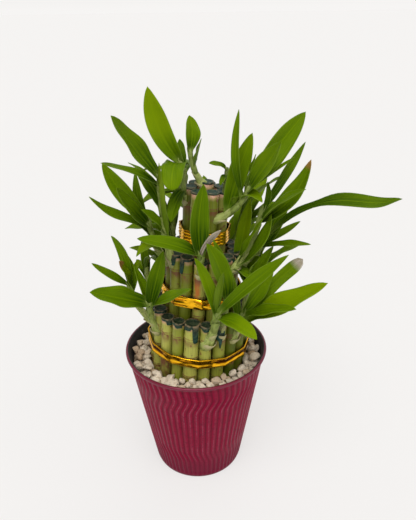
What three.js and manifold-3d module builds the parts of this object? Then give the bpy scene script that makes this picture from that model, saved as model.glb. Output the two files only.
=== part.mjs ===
// Lucky bamboo: a tower of cut canes with leafy shoots, tied in three tiers, in a ribbed pot of pebbles.
// Millimetres, +Z up. The origin is the middle of the pot's flat underside, and the front is -Y.
import * as THREE from "three";
import { mergeVertices } from "three/addons/utils/BufferGeometryUtils.js";
import Module from "manifold-3d";

const wasm = await Module();
wasm.setup();

// Pot
const potHeight = 135.4;
const rimRadius = 70;
const rimBead = 2;
const footRadius = 45.3;
const footRound = 2.2;
const wall = 1.6;
const ribCount = 64;
const ribDepth = 1.0;
const ribWave = 5.2;

// Sway of the ribs: height, and share of ribWave by which a rib has moved sideways there
const ribSway = [[9, 1], [24, 1], [42, 0], [98, 0], [116, 1], [128, 1]];

// Pebbles
const pebbleLine = 127;
const pebbleSize = 4.3;
const pebbleRings = [
  { radius: 52.4, count: 27 },
  { radius: 59.2, count: 31 },
];
const plugBelow = 2.5;
const pebbleLift = 1.2;
const wellDepth = 42;
const clearance = 0.35;

// Tower of canes: heights are above the pebbles, in a frame that leans a little to the right
const leanDegrees = 3.8;
const towerFoot = 1.6;
const caneRadius = 6.0;
const caneSides = 8;
const caneUneven = 3;
const caneBelow = wellDepth - clearance;
const nodeSwell = 0.25;
const nodeHalf = 1.5;
const nodeBelowTop = 14;
const tiers = {
  outer: { count: 20, ring: 41.2, first: -100, top: 58 },
  middle: { count: 14, ring: 28.5, first: -120, top: 115 },
  inner: { count: 7, ring: 14.5, first: -20, top: 171 },
  centre: { count: 1, ring: 0, first: 0, top: 177 },
};
const wellRadius = tiers.outer.ring + caneRadius + nodeSwell + clearance;
const wellSides = 40;

// Canes of another thickness, by tier and place in it: radius, and distance from the tower's middle
const oddCanes = {
  outer: { 0: [6.9, 40.6], 1: [5.6, 41.2], 19: [5.6, 41.2] },
};

// Foil ties: height of the middle, width of the band, inner radius and sides
const ties = {
  lower: { height: 20, band: 8.5, radius: 47.85, sides: 40 },
  middle: { height: 74.5, band: 10.5, radius: 35.15, sides: 32 },
  upper: { height: 131, band: 12, radius: 21.15, sides: 24 },
};
const foilThickness = 1.6;
const foilChannel = 0.9;
const foilRoll = 0.4;

// Leaves
const broadBlade = 9;
const bladeThickness = 0.9;
const bladeFold = 0.28;
const shootSides = 5;
const shootSteps = 3;
const shootTaper = 0.3;
const shootBend = { out: 0.8, up: 0.3 };

// Leafy shoots of the front and the sides. Each one leaves its cane at height "foot", runs "reach" out
// in the direction "turn" (0 is right, -90 is the front, 90 the back) and ends at height "top".
// A leaf is [turn, rise, length, width, bow, twist, seat]: the direction of its tip in degrees, its
// size, how far it arches up in the middle, its roll, and where it leaves the shoot (1 is the end).
const shoots = [
  { tier: "outer", near: -154, turn: -140, foot: 32, reach: 13, top: 67, thick: 3.6, leaves: [
    [-150, 25.5, 60, 17, 1, 42, 1],
    [-20, 81, 60, 12, 2, -65, 0.9],
    [-45, 38, 67, 11.5, 0, -40, 0.95],
    [141, 60, 26, 6, 2, 0, 0.8],
  ] },
  { tier: "outer", near: -172, turn: 172, foot: 34, reach: 27, top: 72, thick: 3.2, leaves: [
    [-165, 38, 43, 7, -3, 30, 1],
    [150, 66, 54, 8, 4, 70, 0.93],
    [-125, 68, 42, 10, 2, 60, 0.86],
    [57, 76, 36, 10, 2, 0, 0.8],
  ] },
  { tier: "outer", near: 170, turn: 175, foot: 36, reach: 12, top: 84, thick: 3, leaves: [
    [-60, 40, 30, 8, 8, 0, 1],
    [120, 66, 34, 8, 3, 30, 0.9],
    [120, 24, 30, 9, 4, 0, 0.8],
  ] },
  { tier: "middle", near: -171, turn: -166, foot: 98, reach: 22, top: 142, thick: 3.4, leaves: [
    [172, 50, 62, 14.5, -3, 60, 1],
    [-130, 50, 57, 13, -2, 75, 0.9],
    [-160, 40, 72, 9, 2.5, 35, 0.62],
    [-150, 4, 30, 12, 8, 0, 0.35],
    [130, 63, 56, 8, 2, 40, 0.78],
  ] },
  { tier: "middle", near: -146, turn: -166, foot: 98, reach: 16.5, top: 183, thick: 3.2, leaves: [
    [-145, 52, 68, 15, 0, 65, 1],
    [-135, 26.5, 63.5, 9, 1.5, 30, 0.95],
    [151, 31, 38, 6, 3, 0, 0.9],
    [146, 45, 40, 11, 5, 50, 0.76],
    [-140, 50, 38, 9, 3, 50, 0.5],
    [-135, 82, 75, 9, -2, 5, 0.4],
  ] },
  { tier: "inner", near: -174, turn: -150, foot: 154, reach: 9.5, top: 193, thick: 3.2, leaves: [
    [-172, 65, 67, 16, -5, 80, 1],
    [-100, -17, 36, 18, 11, 0, 0.96],
    [100, 52, 30, 8, 2, 0, 0.86],
    [-112, -40, 33, 12, 5, 0, 0.5],
  ] },
  { tier: "centre", near: 0, turn: -172, foot: 171, reach: 16, top: 203, thick: 3, leaves: [
    [102, 72, 29, 12, 2, 0, 1],
    [-70, -28, 16, 7, 3, 0, 0.9],
  ] },
  { tier: "middle", near: -94, turn: -95, foot: 98, reach: 6, top: 122, thick: 3.6, leaves: [
    [100, 86, 65, 16, 2, 0, 0.9],
    [-167, 19, 57, 13, 2.5, 36, 1],
    [-37, 62, 40, 7, 3, 30, 0.8],
  ] },
  { tier: "outer", near: -64, turn: -67, foot: 40, reach: 7.6, top: 83, thick: 3.4, leaves: [
    [-160, 70, 62, 16, 4, 75, 1],
    [-20, 62, 30, 8, 3, -40, 0.85],
  ] },
  { tier: "outer", near: -82, turn: -55, foot: 36, reach: 13.6, top: 75, thick: 4.4, leaves: [
    [-170, 70, 63, 10, 3, 75, 0.92],
    [-22, 52, 88, 12, 1, -55, 1],
    [-46, 4, 46, 16, 4, -10, 0.92],
    [-75, 79, 60, 7, 2, 0, 0.76],
  ] },
  { tier: "outer", near: -46, turn: -38, foot: 34, reach: 10, top: 67, thick: 3.6, leaves: [
    [25, 55, 49, 15, -2, -75, 1],
    [-45, 32, 65, 12, 2, -30, 0.92],
    [24, 42, 80, 12, 3, -60, 0.84],
    [-22, 40, 92, 18, -3, -42, 0.76],
    [-160, 71, 94, 10, 3, 75, 0.68],
  ] },
  { tier: "outer", near: -28, turn: -12, foot: 40, reach: 5, top: 94, thick: 3, leaves: [
    [-44, 70, 28, 12, 2, -40, 1],
    [30, 30, 34, 10, 3, -30, 0.92],
    [0, 62, 48, 5, -2, -60, 0.84],
  ] },
  { tier: "inner", near: -71, turn: -17, foot: 146, reach: 31, top: 182, thick: 3, leaves: [
    [24, 52, 74, 17, 1, -75, 1],
    [-48, 58, 56, 17, -3, -75, 0.9],
    [30, 74, 71, 13, 2, -60, 0.3],
    [-50, 78, 38, 8, 2, -50, 0.8],
    [-50, 14, 24, 9, 6, -20, 0.7],
    [5, 38, 45, 3.5, 0, -30, 0.95],
    [-90, 60, 15, 7, 3, 0, 0.5],
    [124, 78, 72, 7, 2, 60, 0.74],
  ] },
  { tier: "inner", near: -20, turn: -30, foot: 156, reach: 3, top: 190, thick: 2.8, leaves: [
    [-152, 25, 20, 6, 2, 30, 0.97],
    [-120, -30, 13, 5, 2, 0, 0.9],
    [70, 0, 36, 10, 4, 0, 0.7],
    [30, 0, 34, 11, 4, -40, 0.6],
  ] },
  { tier: "middle", near: -43, turn: -15, foot: 98, reach: 26, top: 163, thick: 3.2, leaves: [
    [32, 54, 66, 8.5, 0, -75, 1],
    [61, 74, 28, 5, 1, 0, 0.95],
    [-30, 58, 70, 14, -4, -65, 0.88],
    [-52, 46, 67, 11, 4, -40, 0.8],
    [-40, 66, 60, 13, 0, -50, 0.25],
  ] },
  { tier: "middle", near: -17, turn: -4, foot: 96, reach: 24, top: 128, thick: 3.4, leaves: [
    [-16, 27, 121, 12, 17, -40, 1],
    [14, 30, 40, 8, -3, -65, 0.92],
    [-38, 21, 52, 8, 1.5, -20, 0.84],
    [29, 64, 58, 14, -3, -60, 0.76],
    [-45, 86, 38, 7, 1, 0, 0.6],
    [-150, 80, 50, 10, -5, 60, 0.68],
    [50, 80, 66, 12, 0, -20, 0.1],
  ] },
];

// Shoots of the back: the same kind, with leaves fanned out by a rule and seeded draws. "lift" is added
// to the rise of their leaves, and the ranges are the least and the most of each size.
const backShoots = [
  { tier: "outer", near: 26, top: 76, lift: 0 },
  { tier: "outer", near: 62, top: 80, lift: 0 },
  { tier: "outer", near: 98, top: 74, lift: 0 },
  { tier: "outer", near: 134, top: 78, lift: 0 },
  { tier: "middle", near: 34, top: 128, lift: -8 },
  { tier: "middle", near: 86, top: 130, lift: -14 },
  { tier: "middle", near: 128, top: 122, lift: -20 },
  { tier: "inner", near: 134, top: 176, lift: -58 },
];
const backStem = { length: 44, reach: 15, thick: 3.2 };
const backTurns = [-58, -22, 14, 52];
const backLeaf = { steep: [54, 68], flat: [30, 44], length: [46, 68], width: [11, 16], bow: [4, 9] };
const backUneven = 8;
const backSpacing = 0.09;
const drawSeed = 2024;

const degrees = THREE.MathUtils.degToRad;

// One stream of draws between 0 and 1 for everything that varies
const drawFactor = 16807;
const drawModulus = 2147483647;
let drawState = drawSeed;

function draw() {
  drawState = (drawState * drawFactor) % drawModulus;
  return drawState / drawModulus;
}

const between = ([least, most]) => least + (most - least) * draw();
const uneven = (width) => width * (draw() - 0.5);

// Solids for joining and cutting
function solid(geometry) {
  const plain = geometry.clone();
  plain.deleteAttribute("normal");
  plain.deleteAttribute("uv");
  const merged = mergeVertices(plain, 1e-3);
  const corners = [];
  for (let i = 0; i < merged.index.count; i += 3) {
    const [a, b, c] = merged.index.array.slice(i, i + 3);
    if (a !== b && b !== c && c !== a) corners.push(a, b, c);
  }
  const mesh = new wasm.Mesh({
    numProp: 3,
    vertProperties: merged.getAttribute("position").array,
    triVerts: new Uint32Array(corners),
  });
  return new wasm.Manifold(mesh);
}

// A hollow that joining seals is filled, and a loose scrap is dropped
function joined(solids) {
  const sum = solids.reduce((all, next) => all.add(next));
  return sum.decompose().reduce((largest, body) => (body.volume() > largest.volume() ? body : largest));
}

function geometryOf(manifold) {
  const mesh = manifold.getMesh();
  const geometry = new THREE.BufferGeometry();
  geometry.setAttribute("position", new THREE.BufferAttribute(mesh.vertProperties, 3));
  geometry.setIndex(new THREE.BufferAttribute(mesh.triVerts, 1));
  geometry.computeVertexNormals();
  return geometry;
}

// A unit cylinder or cone whose every vertex is placed anew: place(across, depth, share of the length)
function bent(sides, steps, pointed, place) {
  const shape = new THREE.CylinderGeometry(pointed ? 0 : 1, 1, 1, sides, steps);
  const points = shape.getAttribute("position");
  for (let i = 0; i < points.count; i++) {
    const share = points.getY(i) + 0.5;
    const widen = pointed && share < 1 ? 1 / (1 - share) : 1;
    const spot = place(points.getX(i) * widen, points.getZ(i) * widen, share);
    points.setXYZ(i, spot.x, spot.y, spot.z);
  }
  return shape;
}

// A curve in the upright plane of the direction "turn": from start by way of a control point, both
// given as distance out and height. It returns the point there and the directions beside it.
function arc(start, turn, control, end) {
  const out = new THREE.Vector3(Math.cos(degrees(turn)), Math.sin(degrees(turn)), 0);
  const across = new THREE.Vector3(Math.sin(degrees(turn)), -Math.cos(degrees(turn)), 0);
  return (share) => {
    const bend = 2 * share * (1 - share);
    const distance = bend * control[0] + share * share * end[0];
    const height = bend * control[1] + share * share * end[1];
    const runOut = (1 - 2 * share) * control[0] + share * end[0];
    const runUp = (1 - 2 * share) * control[1] + share * end[1];
    const pitch = Math.atan2(runUp, runOut);
    const point = start.clone().addScaledVector(out, distance);
    point.z += height;
    const above = out.clone().multiplyScalar(-Math.sin(pitch));
    above.z = Math.cos(pitch);
    return { point, across, above };
  };
}

// A leaf blade: folded along its midrib, widest before the middle, ending in a point. The outline is
// half of the width at a share of the length, and its two numbers set the base and the widest place.
function bladeOutline(share) {
  return (1 - share) ** 0.85 * (0.22 + 3.2 * share);
}

function blade(start, [turn, rise, length, width, bow, twist]) {
  const out = length * Math.cos(degrees(rise));
  const up = length * Math.sin(degrees(rise));
  const control = [
    out / 2 - 2 * bow * Math.sin(degrees(rise)),
    up / 2 + 2 * bow * Math.cos(degrees(rise)),
  ];
  const midrib = arc(start, turn, control, [out, up]);
  const roll = degrees(twist);
  const steps = width < broadBlade ? 3 : 4;
  return solid(bent(4, steps, true, (x, depth, share) => {
    const { point, across, above } = midrib(share);
    const half = (width / 2) * bladeOutline(share);
    const side = x * half;
    const lift = Math.abs(side) * bladeFold * 2 + (depth * bladeThickness) / 2;
    point.addScaledVector(across, side * Math.cos(roll) - lift * Math.sin(roll));
    return point.addScaledVector(above, side * Math.sin(roll) + lift * Math.cos(roll));
  }));
}

// The stem of a shoot, and its leaves
function shoot({ turn, foot, reach, top, thick, leaves }, cane) {
  const start = new THREE.Vector3(cane.x, cane.y, foot);
  const rise = top - foot;
  const stem = arc(start, turn, [reach * shootBend.out, rise * shootBend.up], [reach, rise]);
  const shaft = solid(bent(shootSides, shootSteps, false, (x, depth, share) => {
    const { point, across, above } = stem(share);
    const radius = thick * (1 - shootTaper * share);
    return point.addScaledVector(across, x * radius).addScaledVector(above, depth * radius);
  }));
  return [shaft, ...leaves.map((leaf) => blade(stem(leaf[6]).point, leaf))];
}

function backShoot({ near, top, lift }, cane) {
  const leaves = backTurns.map((offset, index) => [
    near + offset + uneven(backUneven),
    lift + between(index % 2 ? backLeaf.flat : backLeaf.steep),
    between(backLeaf.length),
    between(backLeaf.width),
    between(backLeaf.bow),
    0,
    1 - backSpacing * index,
  ]);
  return shoot({ ...backStem, turn: near, foot: top - backStem.length, top, leaves }, cane);
}

// A cane: foot, one swollen node below the top, and the cut top
function cane({ x, y }, radius, top) {
  const ring = top - nodeBelowTop;
  const heights = [-caneBelow, ring - nodeHalf, ring, ring + nodeHalf, top];
  const radii = [radius, radius, radius + nodeSwell, radius, radius];
  const last = heights.length - 1;
  return solid(bent(caneSides, last, false, (across, depth, share) => {
    const step = Math.round(share * last);
    return new THREE.Vector3(x + across * radii[step], y - depth * radii[step], heights[step]);
  }));
}

// Materials
const finish = {
  pot: new THREE.MeshStandardMaterial({ color: 0x8e1535, roughness: 0.42, metalness: 0.35 }),
  pebble: new THREE.MeshStandardMaterial({ color: 0xd8d2c4, roughness: 0.9, metalness: 0 }),
  foil: new THREE.MeshStandardMaterial({ color: 0xd9980f, roughness: 0.22, metalness: 0.95 }),
  stalk: new THREE.MeshStandardMaterial({ color: 0x5f8f1e, roughness: 0.5, metalness: 0 }),
};

function part(name, geometry, material) {
  const mesh = new THREE.Mesh(geometry, material);
  mesh.name = name;
  return mesh;
}

// Pot: one shell that runs up the ribbed outside, over the rolled rim and down the plain inside
const wallRadius = (height) => footRadius + (rimRadius - rimBead - footRadius) * (height / potHeight);
const innerRadius = (height) => wallRadius(height) - ribDepth - wall;
const ribbed = (height, shift) => ({ height, radius: wallRadius(height), rib: ribDepth, shift });
const plain = (height, radius) => ({ height, radius, rib: 0, shift: 1 });
const potRows = [
  plain(0, footRadius - footRound),
  plain(footRound, footRadius),
  ...ribSway.map(([height, shift]) => ribbed(height, shift)),
  plain(potHeight - 2 * rimBead, wallRadius(potHeight)),
  plain(potHeight - rimBead, rimRadius),
  plain(potHeight - rimBead / 4, rimRadius - rimBead / 4),
  plain(potHeight, rimRadius - rimBead),
  plain(potHeight - rimBead / 2, innerRadius(potHeight)),
  plain(wall, innerRadius(wall)),
];

function pot() {
  const last = potRows.length - 1;
  const column = Math.PI / ribCount;
  return solid(bent(2 * ribCount, last, false, (x, depth, share) => {
    const row = potRows[Math.round(share * last)];
    const index = Math.round(Math.atan2(-depth, x) / column);
    const valley = index % 2 !== 0;
    const turn = row.rib || !valley ? index : index - 1;
    const angle = turn * column + (row.shift * ribWave) / wallRadius(potHeight / 2);
    const reach = Math.hypot(x, depth) * (row.radius - (valley ? row.rib : 0));
    return new THREE.Vector3(reach * Math.cos(angle), reach * Math.sin(angle), row.height);
  }));
}

function cone(bottomRadius, topRadius, bottom, top) {
  const shape = new THREE.CylinderGeometry(topRadius, bottomRadius, top - bottom, ribCount);
  shape.rotateX(Math.PI / 2);
  shape.translate(0, 0, (bottom + top) / 2);
  return solid(shape);
}

// Tower frame
const tower = new THREE.Group();
tower.position.set(towerFoot, 0, pebbleLine);
tower.rotation.y = degrees(leanDegrees);
tower.updateMatrix();

// Pebble bed: a plug of pebbles with a well for the canes, and loose pebbles fused to its top
function pebbleBed() {
  const top = pebbleLine - plugBelow;
  const plugRadius = (height) => innerRadius(height) - clearance;
  const bottom = wall + clearance;
  const plug = cone(plugRadius(bottom), plugRadius(top), bottom, top);
  const pebbles = [];
  for (const { radius, count } of pebbleRings) {
    for (let i = 0; i < count; i++) {
      const angle = ((i + between([0, 0.3])) / count) * 2 * Math.PI;
      const pebble = new THREE.IcosahedronGeometry(pebbleSize * between([0.82, 0.98]), 0);
      pebble.rotateX(between([0, 0.6]));
      pebble.scale(1, 0.85, 0.72);
      pebble.rotateZ(between([0, 2 * Math.PI]));
      pebble.translate(radius * Math.cos(angle), radius * Math.sin(angle), top + pebbleLift + 0.8 * draw());
      pebbles.push(solid(pebble));
    }
  }
  const well = new THREE.CylinderGeometry(wellRadius, wellRadius, 2 * wellDepth, wellSides);
  well.rotateX(Math.PI / 2);
  well.applyMatrix4(tower.matrix);
  return joined([plug, ...pebbles]).subtract(solid(well));
}

// Foil ties: thin bands with two rolled edges and a channel between them
function tie({ height, band, radius, sides }) {
  const half = band / 2;
  const profile = [
    [0, -half],
    [foilThickness, -half + foilRoll],
    [foilChannel, 0],
    [foilThickness, half - foilRoll],
    [0, half],
    [0, -half],
  ].map(([out, up]) => new THREE.Vector2(radius + out, height + up));
  const ring = new THREE.LatheGeometry(profile, sides);
  ring.rotateX(Math.PI / 2);
  return geometryOf(solid(ring));
}

// Stalks: each one is a cane with the shoots that grow from it
function stalk(tier, index) {
  const { count, first, top } = tiers[tier];
  const [radius, ring] = oddCanes[tier]?.[index] ?? [caneRadius, tiers[tier].ring];
  const turn = first + (index * 360) / count;
  const spot = { x: ring * Math.cos(degrees(turn)), y: ring * Math.sin(degrees(turn)) };
  const mine = (layout) => {
    const apart = Math.abs(((turn - layout.near + 540) % 360) - 180);
    return layout.tier === tier && apart < 180 / count;
  };
  const pieces = [cane(spot, radius, top + uneven(caneUneven))];
  shoots.filter(mine).forEach((layout) => pieces.push(...shoot(layout, spot)));
  backShoots.filter(mine).forEach((layout) => pieces.push(...backShoot(layout, spot)));
  return geometryOf(joined(pieces));
}

const group = new THREE.Group();
group.add(part("pot", geometryOf(pot()), finish.pot));
group.add(part("pebble_bed", geometryOf(pebbleBed()), finish.pebble));
for (const [name, size] of Object.entries(ties)) {
  tower.add(part("tie_" + name, tie(size), finish.foil));
}
for (const [tier, { count }] of Object.entries(tiers)) {
  for (let i = 0; i < count; i++) {
    const name = count > 1 ? `stalk_${tier}_${String(i + 1).padStart(2, "0")}` : `stalk_${tier}`;
    tower.add(part(name, stalk(tier, i), finish.stalk));
  }
}
group.add(tower);

export default group;
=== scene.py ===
# %% [markdown]
# # Lucky bamboo in a ribbed pot
#
# Canes of lucky bamboo are cut to three lengths, bundled into a tower with gold foil and set in a
# pot of white pebbles, where leafy shoots grow from their sides. The construction model is loaded
# first. Every piece made here stays in its frame: metres, +Z up, and the origin in the middle of
# the pot's flat underside. A fixed frame keeps each new piece where the real one stands.

# %% Load the construction model
import random
from math import atan2, cos, exp, hypot, pi, radians, sin, sqrt

import bmesh
import bpy
from mathutils import Euler, Matrix, Vector, noise


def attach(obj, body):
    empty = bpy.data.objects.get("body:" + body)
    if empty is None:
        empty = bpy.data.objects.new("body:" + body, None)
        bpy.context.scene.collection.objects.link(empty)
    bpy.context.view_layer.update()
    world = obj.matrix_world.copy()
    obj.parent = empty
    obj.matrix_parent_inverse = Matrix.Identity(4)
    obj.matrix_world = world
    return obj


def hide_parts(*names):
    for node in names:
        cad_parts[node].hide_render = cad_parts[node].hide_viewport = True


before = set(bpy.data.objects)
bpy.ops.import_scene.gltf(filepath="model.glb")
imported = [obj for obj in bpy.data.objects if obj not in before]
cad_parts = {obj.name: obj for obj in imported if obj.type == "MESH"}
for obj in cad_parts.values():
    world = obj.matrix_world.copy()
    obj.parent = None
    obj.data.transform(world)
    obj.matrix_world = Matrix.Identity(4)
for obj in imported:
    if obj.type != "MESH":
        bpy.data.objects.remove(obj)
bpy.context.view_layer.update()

MM = 0.001
scene = bpy.context.scene
print("nodes in the frame:", len(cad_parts))

# %% [markdown]
# ## Camera
# The photograph looks down on the pot from a little above its top leaves. A camera can be placed
# by eye, or worked out from known points: here the pot's rim and foot gave the place, the tilt and
# the small roll. Depth of field stays off, because the other views move this same camera.

# %% Camera at the photograph's angle
camera_place = Vector((13, -432, 438)) * MM
camera_tilt = radians(64.1)
camera_roll = radians(-0.78)

camera = bpy.data.objects.new("photo_camera", bpy.data.cameras.new("photo_camera"))
camera.data.sensor_width = 36
camera.data.lens = 36
camera_turn = Matrix.Rotation(camera_tilt, 4, "X") @ Matrix.Rotation(camera_roll, 4, "Z")
camera.matrix_world = Matrix.Translation(camera_place) @ camera_turn
scene.collection.objects.link(camera)
scene.camera = camera
print("camera at", tuple(round(value, 3) for value in camera_place))

# %% [markdown]
# ## Tools for finishes
# Each finish is one Principled shader with a few nodes in front of it. These helpers add a node and
# fill its sockets, so that a finish reads as a short list: a pattern, a few coats of colour, a
# relief. Patterns use Object coordinates, a UV map or an attribute of the mesh, which stay put in
# any view.

# %% Helpers for nodes


def fill(socket, value):
    """Give a socket a plain value, or link another node's output to it."""
    if isinstance(value, bpy.types.NodeSocket):
        socket.id_data.links.new(value, socket)
    elif socket.type == "RGBA":
        socket.default_value = (*value, 1)
    else:
        socket.default_value = value


def put(tree, kind, sockets=None, **settings):
    """One more node in a tree, with its settings and with what its sockets take."""
    made = tree.nodes.new("ShaderNode" + kind)
    for name, value in settings.items():
        setattr(made, name, value)
    for name, value in (sockets or {}).items():
        fill(made.inputs[name], value)
    return made


def drive(finish, socket, value):
    """Fill a socket of the finish's own shader."""
    fill(finish.node_tree.nodes["Principled BSDF"].inputs[socket], value)


def new_finish(name, sockets):
    """A material whose Principled shader has these plain values."""
    finish = bpy.data.materials.new(name)
    finish.use_nodes = True
    for socket, value in sockets.items():
        drive(finish, socket, value)
    return finish


# %% Helpers for patterns, shares and colours


def attribute(finish, name):
    return put(finish.node_tree, "Attribute", attribute_name=name).outputs["Fac"]


def clouds(where, scale=1.0, stretch=(1, 1, 1), detail=3.0):
    """A cloudy pattern from 0 to 1. Stretch below 1 draws it out along that axis."""
    tree = where.id_data
    placed = put(tree, "Mapping", {"Vector": where, "Scale": stretch}).outputs["Vector"]
    return put(tree, "TexNoise", {"Vector": placed, "Scale": scale, "Detail": detail}).outputs["Fac"]


def grain(finish, scale, stretch=(1, 1, 1), detail=4.0):
    """Clouds that stand fixed in the plant. The scale is how many fit in a metre."""
    return clouds(put(finish.node_tree, "TexCoord").outputs["Object"], scale, stretch, detail)


def axes_of(place):
    """The outputs X, Y and Z of a place."""
    return put(place.id_data, "SeparateXYZ", {"Vector": place}).outputs


def between(value, low, high):
    """Value stretched so that low becomes 0 and high becomes 1, with soft ends."""
    sockets = {"Value": value, "From Min": low, "From Max": high}
    return put(value.id_data, "MapRange", sockets, interpolation_type="SMOOTHSTEP").outputs["Result"]


def worked_out(operation, *values):
    """One step of arithmetic on numbers and other nodes' outputs."""
    tree = next(value.id_data for value in values if isinstance(value, bpy.types.NodeSocket))
    return put(tree, "Math", dict(enumerate(values)), operation=operation).outputs["Value"]


def times(first, second):
    return worked_out("MULTIPLY", first, second)


def plus(first, second):
    return worked_out("ADD", first, second)


def minus(first, second):
    return worked_out("SUBTRACT", first, second)


def blend(factor, first, second):
    """A colour between two colours, each a colour or a node's output."""
    made = put(factor.id_data, "Mix", {"Factor": factor}, data_type="RGBA")
    colour_sockets = [socket for socket in made.inputs if socket.type == "RGBA"]
    fill(colour_sockets[0], first)
    fill(colour_sockets[1], second)
    return next(socket for socket in made.outputs if socket.type == "RGBA")


def coats(ground, laid_over):
    """A ground colour under more colours, each laid on as far as its share says."""
    for share, colour in laid_over:
        ground = blend(share, ground, colour)
    return ground


def relief(finish, height, depth):
    """Small bumps whose highest point stands this many metres above the lowest."""
    bump = put(finish.node_tree, "Bump", {"Height": height, "Distance": depth, "Strength": 1.0})
    drive(finish, "Normal", bump.outputs["Normal"])


def tell(finish):
    print(finish.name, "has", len(finish.node_tree.nodes), "nodes")


# %% [markdown]
# ## Making pieces
# A piece is shaped in a bmesh and then becomes an object at the origin, with its place in its mesh.
# It rides on the body "root", takes its finishes as materials, and hides the solids of the
# construction model that it stands for. Round things are turned: an outline is spun.

# %% Helpers for pieces
join_within = 0.001 * MM


def object_from(shape, name, finishes):
    mesh = bpy.data.meshes.new(name)
    shape.to_mesh(mesh)
    shape.free()
    for finish in finishes:
        mesh.materials.append(finish)
    mesh.shade_smooth()
    made = bpy.data.objects.new(name, mesh)
    scene.collection.objects.link(made)
    return made


def piece_from(shape, name, finishes, nodes):
    piece = object_from(shape, name, finishes)
    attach(piece, "root")
    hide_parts(*nodes)
    return piece


def faces_of(verts):
    return {face for vert in verts for face in vert.link_faces}


def turned(shape, outline, steps):
    """Spin an outline of (radius, height) round the upright axis and return its vertices."""
    known = set(shape.verts)
    verts = [shape.verts.new((radius, 0, height)) for radius, height in outline]
    edges = [shape.edges.new(pair) for pair in zip(verts, verts[1:])]
    bmesh.ops.spin(shape, geom=verts + edges, cent=(0, 0, 0), axis=(0, 0, 1), angle=2 * pi,
                   steps=steps, use_merge=True)
    made = [vert for vert in shape.verts if vert not in known]
    bmesh.ops.remove_doubles(shape, verts=made, dist=join_within)
    made = [vert for vert in shape.verts if vert not in known]
    bmesh.ops.recalc_face_normals(shape, faces=list(faces_of(made)))
    return made


# %% Helpers for forms


def smooth(share):
    """0 below 0, 1 above 1, and an easy curve between."""
    share = min(1.0, max(0.0, share))
    return share * share * (3 - 2 * share)


def bell(offset, width):
    """1 at no offset, and hardly anything beyond two widths."""
    return exp(-((offset / width) ** 2))


def heading(turn):
    """The level direction at a turn in degrees: 0 is right, -90 the front, 90 the back."""
    return Vector((cos(radians(turn)), sin(radians(turn)), 0))


# %% [markdown]
# ## Floor and light
# The plant stands on something pale and is lit softly from all round, most strongly from above and
# a little in front. Suns light a wide floor evenly, where lamps would leave a bright pool round the
# pot. The floor glows a little of its own, as a light table does, so that the pot's shadow stays
# faint. The world is as bright as the floor at the horizon, so that the floor's far edge melts into
# it. Colours are shown as they are set, without a film look.

# %% Lights and world
world_colour = (1.0, 0.985, 0.97)
horizon_strength = 0.925
sky_strength = 0.5
horizon_reach = 0.3

scene.view_settings.view_transform = "Standard"
scene.view_settings.look = "None"


def soft_sun(name, place, spread, strength):
    """A sun as seen from this direction, wide enough for soft shadows."""
    lamp = bpy.data.lights.new(name, "SUN")
    lamp.angle = radians(spread)
    lamp.energy = strength
    light = bpy.data.objects.new(name, lamp)
    light.location = place
    light.rotation_euler = (-Vector(place)).to_track_quat("-Z", "Y").to_euler()
    scene.collection.objects.link(light)


soft_sun("key_light", (-0.15, -0.75, 1.4), spread=45, strength=2.0)
soft_sun("fill_light", (0.9, -0.6, 0.8), spread=60, strength=0.4)
soft_sun("back_light", (0.3, 0.9, 1.1), spread=60, strength=0.3)

world = bpy.data.worlds.new("studio")
world.use_nodes = True
upward = axes_of(put(world.node_tree, "TexCoord").outputs["Generated"])["Z"]
brightness = put(world.node_tree, "MapRange", {
    "Value": upward, "From Max": horizon_reach, "To Min": horizon_strength, "To Max": sky_strength})
background = world.node_tree.nodes["Background"]
fill(background.inputs["Color"], world_colour)
fill(background.inputs["Strength"], brightness.outputs["Result"])
scene.world = world

# %% Floor
floor_half = 60.0
floor_colour = (0.26, 0.256, 0.253)
floor_glow = 0.60

floor_finish = new_finish("pale_floor", {
    "Base Color": floor_colour, "Specular IOR Level": 0.0,
    "Emission Color": world_colour, "Emission Strength": floor_glow})
floor_shape = bmesh.new()
bmesh.ops.create_grid(floor_shape, x_segments=1, y_segments=1, size=floor_half)
floor = object_from(floor_shape, "floor", [floor_finish])
print("floor:", 2 * floor_half, "metres wide")

# %% [markdown]
# ## The pot
# The pot is pressed sheet metal with 64 wavy ribs, a rolled rim and satin wine-red enamel. Its colour
# has a painted pinkish sheen on the crests, painted shade in the valleys and painted shade towards the
# foot. Its inside is black, up to the middle of the rim. The ribs could be a bump in the material,
# but then the outline and the shadows would stay flat. So one outline is spun with ten steps to a rib,
# and a formula presses the valleys in.

# %% Sizes of the pot
pot_height = 135.4 * MM
rim_radius = 70 * MM
bead = 1.6 * MM
foot_radius = 45.3 * MM
foot_round = 2.2 * MM
wall = 1.6 * MM
wall_top = pot_height - 2 * bead
rib_count = 64
rib_depth = 0.8 * MM
rib_sharpness = 1.3
rib_foot_fade = 6 * MM
rib_rim_fade = 2 * MM
rib_wave = 5.2 * MM
rib_sway = [(3, 1.0), (24, 0.9), (42, 0), (98, 0), (116, 1.0), (133, 0.7)]
steps_per_rib = 10


def wall_radius(height):
    return foot_radius + (rim_radius - bead - foot_radius) * height / pot_height


def inner_radius(height):
    return wall_radius(height) - rib_depth - wall


def sway_at(height):
    """How far the ribs have swayed at this height, from 0 to 1."""
    for (low, start), (high, end) in zip(rib_sway, rib_sway[1:]):
        if height <= high * MM:
            return start + (end - start) * smooth((height / MM - low) / (high - low))
    return rib_sway[-1][1]


print("ribs:", round(2 * pi * rim_radius / rib_count / MM, 1), "mm apart at the rim")

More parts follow.
